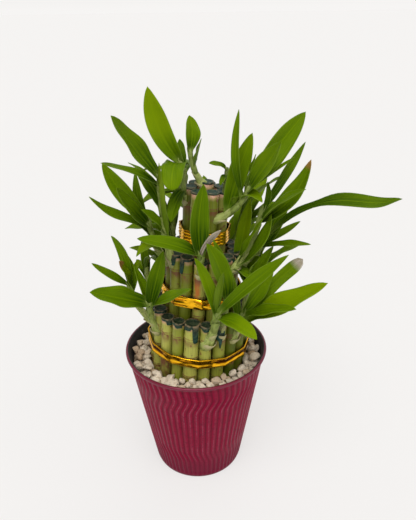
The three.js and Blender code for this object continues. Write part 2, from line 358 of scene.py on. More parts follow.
# %% Finish of the pot
enamel_red = (0.222, 0.001, 0.025)
enamel_crest_sheen = (0.270, 0.058, 0.092)
enamel_valley_shade = (0.140, 0.001, 0.016)
enamel_plum = (0.060, 0.002, 0.014)
enamel_foot_shade = (0.115, 0.002, 0.020)
enamel_rim = (0.135, 0.010, 0.024)
inside_tone, inside_dust = (0.006, 0.006, 0.007), (0.03, 0.028, 0.03)
foot_shade_top = 48 * MM

enamel = new_finish("wine_red_enamel", {"Specular Tint": (1.0, 0.45, 0.6)})
crest = attribute(enamel, "crest")
on_bead = attribute(enamel, "bead")
upward = axes_of(put(enamel.node_tree, "TexCoord").outputs["Object"])["Z"]
# Painted shade: the enamel darkens towards the foot, and the painted crest sheen fades out there.
above_foot_shade = between(upward, 0.0, foot_shade_top)
# Painted sheen: the crests are coloured a paler rose, as a satin highlight, broken up by speckles and
# patches.
sheen_speckle = plus(between(grain(enamel, 900, detail=3), 0.3, 0.7), 0.15)
sheen_patches = plus(between(grain(enamel, 40, detail=3), 0.38, 0.6), 0.3)
plum_clouds = between(grain(enamel, 330), 0.45, 0.75)
crest_sheen_share = times(between(crest, 0.78, 1.0), sheen_speckle)
crest_sheen_share = times(times(crest_sheen_share, sheen_patches), above_foot_shade)
# Painted shade: below a crest number of 0.25, in the rib valleys, the red darkens to the valley colour.
drive(enamel, "Base Color", coats(enamel_valley_shade, [
    (between(crest, 0.0, 0.25), enamel_red),
    (times(crest_sheen_share, 0.8), enamel_crest_sheen),
    (times(plum_clouds, 0.45), enamel_plum),
    (times(minus(1.0, above_foot_shade), 0.7), enamel_foot_shade),
    (on_bead, enamel_rim),
]))
drive(enamel, "Roughness", minus(0.42, times(on_bead, 0.2)))
drive(enamel, "Specular IOR Level", plus(0.1, times(on_bead, 0.5)))
relief(enamel, grain(enamel, 1100, detail=3), 0.12 * MM)

inside_black = new_finish("black_inside", {"Roughness": 0.55})
dust = between(grain(inside_black, 300), 0.5, 0.8)
drive(inside_black, "Base Color", blend(dust, inside_tone, inside_dust))
tell(enamel)
tell(inside_black)

# %% Outline of the pot
wall_row = 1.8 * MM
bead_centre = (rim_radius - bead, pot_height - bead)


def pot_outline():
    """From the middle of the underside, up the outside, over the rim and down to the inner floor."""
    points = [(0, 0), (foot_radius - foot_round, 0)]
    for degrees in (30, 60, 90):
        turn = radians(degrees)
        points.append((foot_radius - foot_round * (1 - sin(turn)), foot_round * (1 - cos(turn))))
    rows = round((wall_top - foot_round) / wall_row)
    for row in range(1, rows + 1):
        height = foot_round + (wall_top - foot_round) * row / rows
        points.append((wall_radius(height), height))
    for degrees in range(-70, 181, 25):
        turn = radians(degrees)
        points.append((bead_centre[0] + bead * cos(turn), bead_centre[1] + bead * sin(turn)))
    return points + [(inner_radius(wall_top), wall_top), (inner_radius(wall), wall), (0, wall)]


# %% Shape of the pot
bead_tone_from = pot_height - 2.6 * bead
bead_tone_fade = 0.5 * bead
crest_without_ribs = 0.4
inside_play = 0.2 * MM
black_rim_from = bead_centre[0] - 0.1 * bead

pot_shape = bmesh.new()
crest_layer = pot_shape.verts.layers.float.new("crest")
bead_layer = pot_shape.verts.layers.float.new("bead")
turned(pot_shape, pot_outline(), rib_count * steps_per_rib)
middle_radius = wall_radius(pot_height / 2)
for vert in pot_shape.verts:
    radius, height = vert.co.xy.length, vert.co.z
    vert[bead_layer] = smooth((height - bead_tone_from) / bead_tone_fade)
    if radius > inner_radius(height) + wall / 2 and foot_round < height < wall_top:
        fade = smooth((height - foot_round) / rib_foot_fade) * smooth((wall_top - height) / rib_rim_fade)
        angle = atan2(vert.co.y, vert.co.x) - sway_at(height) * rib_wave / middle_radius
        rise = (0.5 + 0.5 * cos(rib_count * angle)) ** rib_sharpness
        vert.co.xy *= (radius - rib_depth * (1 - rise) * fade) / radius
        vert[crest_layer] = rise * fade + crest_without_ribs * (1 - fade)
for face in pot_shape.faces:
    middle = face.calc_center_median()
    inside = middle.xy.length < inner_radius(middle.z) + inside_play and middle.z > wall / 2
    in_bead = middle.z > wall_top and middle.xy.length < black_rim_from
    face.material_index = int(inside or in_bead)
pot = piece_from(pot_shape, "ribbed_pot", [enamel, inside_black], ["pot"])
print("pot:", len(pot.data.polygons), "faces")

# %% [markdown]
# ## The pebbles
# White and beige pebbles fill the pot and hold the canes. Scattering copies of one stone would show,
# so each pebble starts as a small sphere that gets flats and dents of its own, and is then squeezed
# and turned. They are dropped at seeded places, and one that would sit too deep in another is left
# out. Edges between flats stay sharp, as on broken stone. Below them a plain filling carries them.

# %% Finish of the pebbles
pebble_white = (0.66, 0.56, 0.43)
pebble_beige = (0.44, 0.31, 0.19)
pebble_grey = (0.22, 0.17, 0.12)

stone = new_finish("white_pebble", {"Roughness": 0.85})
pores = between(grain(stone, 450, detail=6), 0.5, 0.72)
drive(stone, "Base Color", coats(pebble_white, [
    (between(attribute(stone, "tint"), 0.55, 1.0), pebble_beige),
    (times(pores, 0.65), pebble_grey),
]))
relief(stone, grain(stone, 500, detail=6), 0.7 * MM)
tell(stone)

# %% Shape of one pebble
pebble_flats = 7
pebble_flat_from = 0.66
pebble_dents = 0.2

shuffle = random.Random(11)


def pebble(shape, tint_layer, centre, size):
    """One stone: a sphere of 80 faces, cut flat here and there, dented, squeezed and turned."""
    verts = bmesh.ops.create_icosphere(shape, subdivisions=2, radius=1)["verts"]
    own_noise = Vector([shuffle.uniform(-50, 50) for _ in range(3)])
    flats = [Vector([shuffle.gauss(0, 1) for _ in range(3)]).normalized() for _ in range(pebble_flats)]
    for vert in verts:
        for flat in flats:
            vert.co -= flat * max(0, vert.co.dot(flat) - pebble_flat_from)
        vert.co *= 1 + pebble_dents * noise.noise(vert.co * 0.9 + own_noise)
    lengths = (shuffle.uniform(0.85, 1.25), shuffle.uniform(0.75, 1.0), shuffle.uniform(0.62, 0.85))
    squeeze = Matrix.Diagonal((*(size * length for length in lengths), 1))
    turn = Euler([shuffle.uniform(-0.6, 0.6), shuffle.uniform(-0.6, 0.6), shuffle.uniform(0, 6.3)])
    place = Matrix.Translation(centre) @ turn.to_matrix().to_4x4() @ squeeze
    bmesh.ops.transform(shape, matrix=place, verts=verts)
    shade = shuffle.random()
    for vert in verts:
        vert[tint_layer] = shade


# %% Places of the pebbles
pebble_size = 7.8 * MM
tower_foot = Vector((1.6, 0, 127)) * MM
bundle_radius = 47.4 * MM
pebble_gap = 0.62
pebble_play = 0.8
pebble_layers = [(119.5, 110), (124.0, 130), (127.8, 90)]
pebble_tries = 60


def pebble_places():
    """Centres and sizes of pebbles between the bundle of canes and the pot, from below to the top."""
    found = []
    for height, count in pebble_layers:
        for _ in range(count * pebble_tries):
            size = pebble_size * shuffle.uniform(0.5, 1.0)
            angle = shuffle.uniform(-pi, pi)
            inside = bundle_radius + 0.55 * size
            outside = inner_radius(height * MM) - 0.85 * size
            radius = shuffle.uniform(inside, outside)
            spot = Vector((radius * cos(angle), radius * sin(angle), height * MM))
            spot += Vector((tower_foot.x * (outside - radius) / (outside - inside), 0, 0))
            spot.z += shuffle.uniform(-pebble_play, pebble_play) * MM
            if all((spot - other).length > pebble_gap * (size + width) for other, width in found):
                found.append((spot, size))
                count -= 1
            if count == 0:
                break
    return found


# %% The bed of pebbles
pebble_sharp = radians(33)
filling_top = 119 * MM
filling_bottom = 2 * MM
filling_play = 0.4 * MM
well_radius = bundle_radius + 0.5 * MM
well_floor = 85 * MM

filling = [(0, filling_bottom), (inner_radius(filling_bottom) - filling_play, filling_bottom),
           (inner_radius(filling_top) - filling_play, filling_top), (well_radius, filling_top),
           (well_radius, well_floor), (0, well_floor)]
pebble_shape = bmesh.new()
pebble_tint = pebble_shape.verts.layers.float.new("tint")
for vert in turned(pebble_shape, filling, 96):
    vert[pebble_tint] = 1.0
stones = pebble_places()
for centre, size in stones:
    pebble(pebble_shape, pebble_tint, centre, size)
pebbles = piece_from(pebble_shape, "white_pebbles", [stone], ["pebble_bed"])
pebbles.data.set_sharp_from_angle(angle=pebble_sharp)
print("pebbles:", len(stones))

# %% [markdown]
# ## The foil ties
# Three bands of folded gold foil hold the tiers. Foil bends at a few corners and runs straight
# between them, and its folds catch the light as bright lines with dark channels, which open and
# close along the band. The dark channels, some cloudy patches and the hidden inner side are painted
# shade in the foil's colour. The band is a spun strip. A formula gives it corners, lengthwise folds
# and crumples, in that order.

# %% Finish of the foil
gold_bright = (1.00, 0.52, 0.015)
gold_shade = (0.10, 0.026, 0.001)

foil = new_finish("gold_foil", {"Metallic": 1.0, "Roughness": 0.2})
patches = between(grain(foil, 110, stretch=(1, 1, 3), detail=2), 0.42, 0.62)
# Painted shade: the gold darkens where the fold number is low and in cloudy patches.
drive(foil, "Base Color", coats(gold_shade, [
    (between(attribute(foil, "fold"), 0.2, 0.75), gold_bright),
    (times(patches, 0.3), gold_shade),
]))
relief(foil, grain(foil, 90, stretch=(1, 1, 2), detail=1), 0.6 * MM)
tell(foil)

# %% Shape of the ties
lean = radians(3.8)
tower = Matrix.Translation(tower_foot) @ Matrix.Rotation(lean, 4, "Y")
foil_thick = 1.5 * MM
foil_rows = 24
foil_steps = 300
foil_straightness = 0.75
foil_fold_depth = 0.42 * foil_thick
foil_waver = 0.5 * MM
foil_edge_fold = 0.2
foil_least_open = 0.25
foil_crumple_scale = 75
foil_crumple_when_shut = 0.4
foil_channel_edge = 1.6


def foil_tie(name, height, band, radius, corners, folds, slant, crumpled, dark):
    """A band with this many corners and folds. Slant turns the folds, dark paints shade in the channels."""
    shape = bmesh.new()
    fold_shade_layer = shape.verts.layers.float.new("fold")
    outer = radius * MM + foil_thick
    rows = [(outer, band * MM * (row / foil_rows - 0.5)) for row in range(foil_rows + 1)]
    inner = [(radius * MM, rows[-1][1]), (radius * MM, rows[0][1]), rows[0]]
    turned(shape, rows + inner, foil_steps)
    corner_turn = 2 * pi / corners
    for vert in shape.verts:
        angle = atan2(vert.co.y, vert.co.x)
        across = vert.co.z / (band * MM)
        reach = vert.co.xy.length
        off_corner = (angle + pi / 2) % corner_turn - corner_turn / 2
        straight = (1 / cos(off_corner) - 1) * foil_straightness
        depth, fold = 0, foil_edge_fold
        if reach > radius * MM + foil_thick / 2:
            wrinkle = noise.noise(Vector((angle * 2.5, across * 1.2, height)))
            wave = cos(2 * pi * folds * (across + 0.5) + slant * (angle + wrinkle))
            open_fold = smooth(0.85 + 2.2 * noise.noise(Vector((2.2 * angle, 3.0, height / 9))))
            wave = 1 - (1 - wave) * (foil_least_open + (1 - foil_least_open) * open_fold)
            crumple = noise.noise(vert.co * foil_crumple_scale + Vector((height, 0, 0)))
            crumple *= foil_thick * (crumpled + foil_crumple_when_shut * (1 - open_fold))
            depth = foil_fold_depth * (wave - 1) + crumple
            # Painted shade: the fold number falls in the channels, so that the finish darkens the gold
            # there.
            fold = 1 - dark * (0.5 - 0.5 * wave) ** foil_channel_edge
        vert.co.xy *= (reach * (1 + straight) + depth) / reach
        vert.co.z += foil_waver * noise.noise(Vector((3 * cos(angle), 3 * sin(angle), height)))
        vert[fold_shade_layer] = fold
    place = tower @ Matrix.Translation((0, 0, height * MM))
    bmesh.ops.transform(shape, matrix=place, verts=shape.verts)
    return piece_from(shape, "foil_" + name, [foil], ["tie_" + name])


# %% Make the three ties
# dark is how much painted shade fills the fold channels of each tie.
ties = {
    "lower": dict(
        height=20, band=8.5, radius=47.6, corners=12, folds=1, slant=0, crumpled=0.1, dark=1.0),
    "middle": dict(
        height=74.5, band=10.5, radius=34.9, corners=9, folds=2, slant=2, crumpled=0.2, dark=0.6),
    "upper": dict(
        height=131, band=12, radius=20.9, corners=7, folds=4, slant=0.4, crumpled=0.05, dark=0.8),
}

for name, sizes in ties.items():
    tie = foil_tie(name, **sizes)
    print(tie.name, [round(value, 4) for value in tie.dimensions])

# %% [markdown]
# ## The canes
# A cane is a cut stem: pale green joints between brown rings, where leaves once clasped it. Turning
# a profile suits it well, because all that changes along it is the radius. The rings, the pink bark
# below the cut, a stain and the tint of each cane are kept as numbers on the mesh for the finish.

# %% Finish of the cane skin
cane_green = (0.180, 0.206, 0.012)
cane_pale = (0.390, 0.390, 0.075)
cane_deep = (0.062, 0.090, 0.004)
ring_brown = (0.170, 0.070, 0.028)
stain_orange = (0.420, 0.125, 0.014)
bark_pink = (0.600, 0.330, 0.215)

skin = new_finish("cane_skin", {"Roughness": 0.4, "Specular IOR Level": 0.25})
cane_tint = plus(attribute(skin, "tint"), times(grain(skin, 45, detail=2), 0.6))
fibre = grain(skin, 900, stretch=(1, 1, 0.04), detail=2)
spots = between(grain(skin, 150, detail=3), 0.62, 0.68)
bark_grain = between(grain(skin, 260, stretch=(1, 1, 0.6), detail=5), 0.35, 0.6)


def rough_mark(name, least):
    """A mark on the mesh, broken up by the grain of the bark but never below this share."""
    return times(attribute(skin, name), plus(bark_grain, least))


drive(skin, "Base Color", coats(cane_deep, [
    (between(cane_tint, 0.2, 0.75), cane_green),
    (between(cane_tint, 0.6, 1.3), cane_pale),
    (times(between(fibre, 0.5, 0.7), 0.25), cane_deep),
    (times(spots, 0.8), ring_brown),
    (rough_mark("bark", 0.45), bark_pink),
    (rough_mark("stain", 0.85), stain_orange),
    (rough_mark("ring", 0.3), ring_brown),
]))
relief(skin, fibre, 0.12 * MM)
tell(skin)

# %% Finish of the sealing wax
wax_black, wax_grey = (0.008, 0.016, 0.006), (0.060, 0.075, 0.035)
drip_black, drip_green = (0.004, 0.026, 0.018), (0.014, 0.070, 0.046)
wax_bare_rim = (0.230, 0.160, 0.085)
wax_bloom = (0.050, 0.130, 0.105)

wax = new_finish("sealing_wax", {"Roughness": 0.4, "Specular IOR Level": 0.2})
wax_cloud = between(grain(wax, 420, detail=5), 0.4, 0.75)
rim_grain = between(grain(wax, 350, detail=3), 0.35, 0.6)
drive(wax, "Base Color", coats(blend(wax_cloud, wax_black, wax_grey), [
    (attribute(wax, "ring"), blend(wax_cloud, drip_black, drip_green)),
    (times(attribute(wax, "bark"), rim_grain), wax_bare_rim),
    (times(attribute(wax, "tint"), 0.55), wax_bloom),
]))
relief(wax, grain(wax, 520, detail=5), 0.9 * MM)
tell(wax)

# %% Sizes of the tower
cane_radius = 6.0 * MM
cane_below = 41.65 * MM
cane_top_play = 3
odd_canes = {"stalk_outer_01": (6.9, 40.6), "stalk_outer_02": (5.6, 41.2), "stalk_outer_20": (5.6, 41.2)}
front_shades = {"stalk_outer_01": 1.0, "stalk_outer_20": 0.55, "stalk_outer_02": 0.7, "stalk_outer_19": 0.9}
stained, stain_angle = "stalk_middle_02", radians(-115)
tiers = {
    "outer": dict(count=20, ring=41.2, first=-100, top=58, bark=3, bloom=0.15, skirt=2.2, drip=14),
    "middle": dict(count=14, ring=28.5, first=-120, top=115, bark=3, bloom=0.15, skirt=2.2, drip=9),
    "inner": dict(count=7, ring=14.5, first=-20, top=171, bark=7, bloom=0.5, skirt=1.2, drip=0),
    "centre": dict(count=1, ring=0, first=0, top=177, bark=7, bloom=0.5, skirt=1.2, drip=0),
}
print("canes:", sum(size["count"] for size in tiers.values()))

# %% One stream of draws
draw_seed = 2024
draw_factor = 16807
draw_modulus = 2147483647
draws_of_the_pebble_bed = 5 * (27 + 31)
draw_state = draw_seed


def draw():
    """A number between 0 and 1, from the same stream as the construction model."""
    global draw_state
    draw_state = draw_state * draw_factor % draw_modulus
    return draw_state / draw_modulus


def ranged(least, most):
    return least + (most - least) * draw()


for _ in range(draws_of_the_pebble_bed):
    draw()
print("stream of draws stands at", draw_state)

# %% Outline of a cane
first_ring = 14 * MM
last_ring_above = 18 * MM
lowest_ring = -12 * MM
joint_length = (19, 27)
ring_foot = 3.2 * MM
ring_steps = [(-2.4, 0.0), (-1.2, 0.10), (-0.6, 0.24), (-0.15, 0.20), (0.1, -0.06), (0.5, 0.12),
              (1.0, 0.02), (2.6, -0.18)]
joint_waist = 0.28 * MM
wax_depth = 1.6 * MM


def cane_outline(radius, rings, top):
    """Radius and height from the foot to the cut, with a small swelling at each ring."""
    points = [(0, -cane_below), (radius, -cane_below)]
    for ring, after in zip(rings, [*rings[1:], top]):
        for up, out in ring_steps:
            points.append((radius + out * MM, ring + up * MM))
        points.append((radius - joint_waist, (ring + after) / 2))
    return points + [(radius, top - wax_depth), (0, top - wax_depth)]


def cane_rings(top, rng):
    """Heights of the rings, from just above the pebbles to the one below the cut."""
    rings = [top - first_ring]
    while rings[-1] > last_ring_above:
        rings.append(rings[-1] - rng.uniform(*joint_length) * MM)
    rings.append(rings[-1] - ring_foot)
    return [ring for ring in sorted(rings) if ring > lowest_ring]


# %% Shape of a cane
ring_mark = 0.45 * MM
ring_pair = (0, -2.2 * MM)
stain_spread = 0.42
stain_below_cut = 8 * MM
stain_foot = 66 * MM
stain_fade = 10 * MM
bark_strength, bark_fade = 0.9, 1.5 * MM


def cane(shape, layers, place, node, tier, radius, top, rng):
    rings = cane_rings(top, rng)
    verts = turned(shape, cane_outline(radius, rings, top), 24)
    shade = front_shades.get(node, rng.random())
    bark_depth = tiers[tier]["bark"] * MM
    for vert in verts:
        height = vert.co.z
        vert[layers["tint"]] = shade
        vert[layers["ring"]] = max(
            bell(height - ring - line, ring_mark) for ring in rings for line in ring_pair)
        if node == stained:
            side = bell(atan2(vert.co.y, vert.co.x) - stain_angle, stain_spread)
            below = smooth((top - height - stain_below_cut) / stain_below_cut)
            vert[layers["stain"]] = side * below * smooth((height - stain_foot) / stain_fade)
        vert[layers["bark"]] = smooth((height - top + bark_depth) / bark_fade) * bark_strength
    bmesh.ops.transform(shape, matrix=place, verts=verts)


# %% [markdown]
# ## Wax on the cuts
# Each cut is sealed with dark green wax. On the short canes it has run down the outside in drips,
# and on the long ones it is a thin cap with a pale bloom, worn to the bare rim here and there. A cap
# is turned like the cane, and its skirt is then pulled down and out where a drip ran. Drips lie on
# the side that faces out of the bundle, where they have room.

# %% Shape of a wax cap
wax_skirt_rows = 7
wax_over = 0.25 * MM
wax_rim = 0.6 * MM
wax_waver = 0.25
bare_rim_from, bare_rim_fade = 0.85, 0.1
drip_bulge = 0.9 * MM
drip_tone_from, drip_tone_fade = 0.4 * MM, 1.5 * MM
bloom_on_skirt = 0.4


def wax_outline(radius, top, skirt):
    crown = [(0, -0.5), (0.45, -0.45), (0.8, -0.05), (0.95, 0.45), (1.0, 0.3)]
    points = [(radius * share, top + up * MM) for share, up in crown]
    for row in range(wax_skirt_rows + 1):
        points.append((radius + wax_over, top - skirt * row / wax_skirt_rows))
    return points + [(radius - 0.8 * MM, top - skirt - 0.1 * MM), (0, top - 0.5 * skirt - 0.1 * MM)]


def wax_cap(shape, layers, place, radius, top, drips, bloom, skirt):
    verts = turned(shape, wax_outline(radius, top, skirt), 64)
    for vert in verts:
        angle = atan2(vert.co.y, vert.co.x)
        reach = vert.co.xy.length
        down = top - vert.co.z
        vert[layers["bark"]] = smooth((reach / radius - bare_rim_from) / bare_rim_fade)
        vert[layers["bark"]] *= smooth(1 - down / wax_rim)
        run = wax_waver * skirt * noise.noise(Vector((4 * cos(angle), 4 * sin(angle), top * 90)))
        swell = 0
        for turn, length, width in drips:
            apart = (angle - turn + pi) % (2 * pi) - pi
            bump = exp(-((apart / width) ** 8))
            run += bump * length
            swell = max(swell, bump)
        if down > 0.1 * MM and reach > radius * 0.8:
            share = down / skirt
            vert.co.z -= run * share
            bulge = swell * drip_bulge * smooth(share * 2.2) if reach > radius else 0
            vert.co.xy *= (reach + bulge) / reach
        vert[layers["tint"]] = bloom if down < wax_rim else bloom * bloom_on_skirt
        vert[layers["ring"]] = smooth((down - drip_tone_from) / drip_tone_fade)
    for face in faces_of(verts):
        face.material_index = 1
    bmesh.ops.transform(shape, matrix=place, verts=verts)


# %% [markdown]
# ## Shoots and leaves, as a list
# The shoots of the front and the sides follow the photograph one by one, so they are a list in
# millimetres and degrees. A shoot grows on the cane of its tier that is nearest to the direction
# "near". It leaves that cane at height "foot", runs "reach" out in the direction "turn" (0 is right,
# -90 the front, 90 the back) and ends at height "top". A leaf is (turn, rise, length, width, bow,
# twist, seat, shade): where its tip points, its size, how far it arches, its roll, where it leaves
# the shoot (1 is the end), and how bright its green is. Some leaves add what is special about them:
# a sway or a wave of the blade, a waist, a blunt end, or a dead part.

# %% The shoots of the left side
# A leaf's shade is its own tint plus painted light and shade: low where it lies in shadow, high where lit.
shoots = []


def shoot(tier, **sizes):
    shoots.append(dict(tier=tier, **sizes))


shoot("outer", near=-154, turn=-140, foot=32, reach=13, top=67, thick=3.6, leaves=[
    (-150, 25.5, 60, 18.5, 0.5, 42, 1, 0.4),
    (0, 79, 60, 14, 0, -70, 0.9, 0.2, {"sway": 1.5}),
    (-45, 38, 67, 11.5, 0, -40, 0.95, 0.5),
    (141, 64, 46, 9, 2, 0, 0.8, 0.35),
])
shoot("outer", near=-172, turn=172, foot=34, reach=27, top=72, thick=3.2, leaves=[
    (-165, 38, 43, 8.5, -1, 30, 1, 0.5),
    (150, 66, 54, 9, 7, 70, 0.93, 0.35, {"bend": 0.6}),
    (-125, 68, 42, 10, 2, 60, 0.86, 0.7, {"blunt": 0.5, "brown_tip": 0.8}),
    (57, 76, 36, 10, 2, 0, 0.8, 0.62),
    (140, 70, 42, 9, 6, 30, 0.9, 0.5),
])
shoot("outer", near=170, turn=175, foot=36, reach=12, top=84, thick=3, leaves=[
    (-60, 40, 30, 8, 8, 0, 1, 0.35),
    (120, 66, 34, 8, 3, 30, 0.9, 0.3),
    (120, 24, 30, 9, 4, 0, 0.8, 0.6),
])
shoot("middle", near=-171, turn=-166, foot=98, reach=22, top=142, thick=3.4, leaves=[
    (172, 50, 62, 14.5, -3, 60, 1, 0.45),
    (-130, 50, 57, 13, -2, 75, 0.9, 0.3),
    (-160, 40, 72, 9, 2.5, 35, 0.62, 0.35, {"wave": 3}),
    (-150, 4, 24, 12, 8, 0, 0.35, 0.6),
    (130, 63, 56, 8, 2, 40, 0.78, 0.15, {"sway": -5}),
])
shoot("middle", near=-146, turn=-166, foot=98, reach=16.5, top=183, thick=3.2, leaves=[
    (-145, 52, 68, 16.5, 0, 65, 1, 0.38, {"sway": 4.5}),
    (-135, 26.5, 63.5, 9, 1.5, 30, 0.95, 0.3),
    (151, 31, 38, 6, 3, 0, 0.9, 0.4),
    (146, 45, 40, 11, 5, 50, 0.76, 0.1),
    (-140, 50, 38, 9, 3, 50, 0.5, 0.35),
    (-135, 82, 75, 9, -2, 5, 0.4, 0.6),
])
shoot("inner", near=-174, turn=-150, foot=154, reach=9.5, top=193, thick=3.2, leaves=[
    (-172, 65, 67, 17.5, -5, 80, 1, 0.74),
    (-100, -17, 36, 18, 11, 0, 0.96, 0.42, {"blunt": 0.72, "fold": 0.25, "sway": 2}),
    (100, 52, 30, 8, 2, 0, 0.86, 0.2),
    (-112, -40, 33, 12, 5, 0, 0.5, 0.25),
])
shoot("centre", near=0, turn=-172, foot=171, reach=16, top=203, thick=3, leaves=[
    (102, 72, 29, 12, 2, 0, 1, 0.45, {"sway": 2}),
    (0, 80, 27, 9, 0, 0, 0.6, 0.3),
])
print("left side:", len(shoots), "shoots")

# %% The shoots of the middle and the right side
shoot("middle", near=-94, turn=-95, foot=98, reach=6, top=122, thick=3.6, leaves=[
    (100, 86, 65, 16, 2, 0, 0.9, 0.2, {"sway": -3}),
    (-167, 19, 57, 13, 2.5, 36, 1, 0.4),
    (-37, 62, 40, 7, 3, 30, 0.8, 0.5, {"dead": 1}),
])
shoot("outer", near=-64, turn=-67, foot=40, reach=7.6, top=83, thick=3.4, leaves=[
    (-160, 70, 62, 16, 4, 75, 1, 0.35),
    (-20, 62, 30, 8, 3, -40, 0.85, 0.5),
])
shoot("outer", near=-82, turn=-55, foot=36, reach=13.6, top=75, thick=4.4, leaves=[
    (-170, 70, 63, 10, 3, 75, 0.92, 0.5),
    (-22, 52, 88, 12, 1, -55, 1, 0.45),
    (-46, 4, 46, 16, 4, -10, 0.92, 0.66),
    (-75, 79, 60, 7, 2, 0, 0.76, 0.35),
])
shoot("outer", near=-46, turn=-38, foot=34, reach=10, top=67, thick=3.6, leaves=[
    (25, 55, 49, 13, 0, -75, 1, 0.45),
    (-45, 32, 65, 12, 2, -30, 0.92, 0.5),
    (24, 42, 79, 11.5, 3, -60, 0.84, 0.45, {"blunt": 0.82, "white_tip": 0.87}),
    (-22, 40, 92, 19.5, -1, -42, 0.76, 0.85, {"waist": 0.2}),
    (-160, 71, 94, 10, 3, 75, 0.68, 0.4),
])
shoot("outer", near=-28, turn=-12, foot=40, reach=5, top=94, thick=3, leaves=[
    (-44, 70, 28, 12, 2, -40, 1, 0.4),
    (30, 30, 34, 10, 3, -30, 0.92, 0.45),
    (15, 64, 48, 9, 2, -60, 0.84, 0.35),
    (180, 60, 26, 11, 2, 40, 0.9, 0.25),
])
shoot("inner", near=-71, turn=-17, foot=146, reach=31, top=182, thick=3, leaves=[
    (24, 52, 74, 19, 1, -75, 1, 0.38),
    (-48, 58, 56, 18, -1, -75, 0.9, 0.45),
    (30, 74, 71, 16, 1, -50, 0.3, 0.5),
    (-50, 78, 38, 8, 2, -50, 0.8, 0.2, {"sway": -3}),
    (-50, 14, 24, 9, 6, -20, 0.7, 0.65),
    (5, 38, 45, 3.5, 0, -30, 0.95, 0.3),
    (-90, 60, 15, 7, 3, 0, 0.5, 0.5),
    (124, 78, 72, 7, 2, 60, 0.74, 0.35, {"sway": -7}),
])
shoot("inner", near=-20, turn=-30, foot=156, reach=3, top=190, thick=2.8, leaves=[
    (-152, 25, 20, 6, 2, 30, 0.97, 0.4),
    (-120, -30, 13, 5, 2, 0, 0.9, 0.2),
    (70, 0, 36, 10, 4, 0, 0.7, 0.3),
    (30, 0, 34, 11, 4, -40, 0.6, 0.25),
])
shoot("middle", near=-43, turn=-15, foot=98, reach=26, top=163, thick=3.2, leaves=[
    (32, 54, 66, 8.5, 0, -75, 1, 0.15),
    (61, 74, 28, 5, 1, 0, 0.95, 0.1, {"sway": 4}),
    (-30, 58, 70, 15, -8, -65, 0.88, 0.4, {"brown_tip": 0.88}),
    (-52, 46, 67, 11, 4, -40, 0.8, 0.4),
    (-30, 64, 60, 12, -7, -50, 0.25, 0.45),
    (-42, 66, 56, 9, 0, -50, 0.22, 0.35),
    (-30, -12, 22, 11, 3, 0, 0.12, 0.35),
])
shoot("middle", near=-17, turn=-4, foot=96, reach=24, top=128, thick=3.4, leaves=[
    (-16, 27, 121, 12.5, 12, -40, 1, 0.14, {"wave": 7, "bend": 0.82, "waist": 0.32}),
    (14, 30, 41, 6, 0, -65, 0.92, 0.3),
    (-38, 21, 52, 8, 1.5, -20, 0.84, 0.45),
    (29, 64, 58, 14, -3, -60, 0.76, 0.2),
    (-45, 86, 38, 7, 1, 0, 0.6, 0.4),
    (-150, 80, 25, 8, -2, 60, 0.68, 0.35),
    (50, 80, 66, 12, 0, -20, 0.1, 0.7),
])
print("in all:", len(shoots), "shoots")

# %% The shoots of the back
back_shoots = [
    dict(tier="outer", near=26, top=76, lift=9),
    dict(tier="outer", near=62, top=80, lift=0),
    dict(tier="outer", near=98, top=74, lift=0),
    dict(tier="outer", near=134, top=78, lift=0),
    dict(tier="middle", near=34, top=128, lift=-8),
    dict(tier="middle", near=86, top=130, lift=-14),
    dict(tier="middle", near=128, top=122, lift=-20),
    dict(tier="inner", near=134, top=176, lift=-58),
]
back_turns = [-58, -22, 14, 52]
back_stem_length = 44


def back_layout(near, top, lift):
    """A shoot of the back, with its leaves fanned out by the stream of draws."""
    leaves = []
    for index, offset in enumerate(back_turns):
        turn = near + offset + 8 * (draw() - 0.5)
        rise = lift + (ranged(30, 44) if index % 2 else ranged(54, 68))
        length, width, bow = ranged(46, 68), ranged(11, 16), ranged(4, 9)
        leaves.append((turn, rise, length, width, bow, 0, 1 - 0.09 * index, 0.3 + 0.1 * index))
    return dict(turn=near, foot=top - back_stem_length, reach=15, top=top, thick=3.2, leaves=leaves)


print("back:", len(back_shoots), "shoots")

# %% [markdown]
# ## Stems
# A shoot's stem is wrapped in the clasping bases of its leaves, one above the other, so it looks like
# a stack of slim cups. A disc is extruded along a curved line, and it widens towards the lip of
# each cup and steps in above it. The foot, where it breaks out of the cane, is thicker and paler.
# Fibres run along it. The finish finds them by two numbers on the mesh, round the stem and along it.

# %% Finish of the stems and sheaths
stem_green = (0.075, 0.130, 0.008)
stem_pale = (0.330, 0.380, 0.105)
sheath_dry = (0.460, 0.360, 0.230)

stem_skin = new_finish("stem_skin", {"Roughness": 0.45, "Specular IOR Level": 0.2})
stem_cloud = grain(stem_skin, 120, stretch=(1, 1, 0.3))
stem_share = plus(attribute(stem_skin, "tint"), times(stem_cloud, 0.5))
fibre_place = put(stem_skin.node_tree, "CombineXYZ", {
    "X": times(attribute(stem_skin, "around"), 9),
    "Y": times(attribute(stem_skin, "along"), 0.12)}).outputs["Vector"]
stem_fibre = clouds(fibre_place)
drive(stem_skin, "Base Color", coats(stem_green, [
    (between(stem_share, 0.1, 1.0), stem_pale),
    (times(between(stem_fibre, 0.5, 0.36), 0.55), stem_green),
    (attribute(stem_skin, "dead"), sheath_dry),
    (attribute(stem_skin, "ring"), ring_brown),
]))
relief(stem_skin, stem_fibre, 0.5 * MM)
tell(stem_skin)

# %% A curve in an upright plane


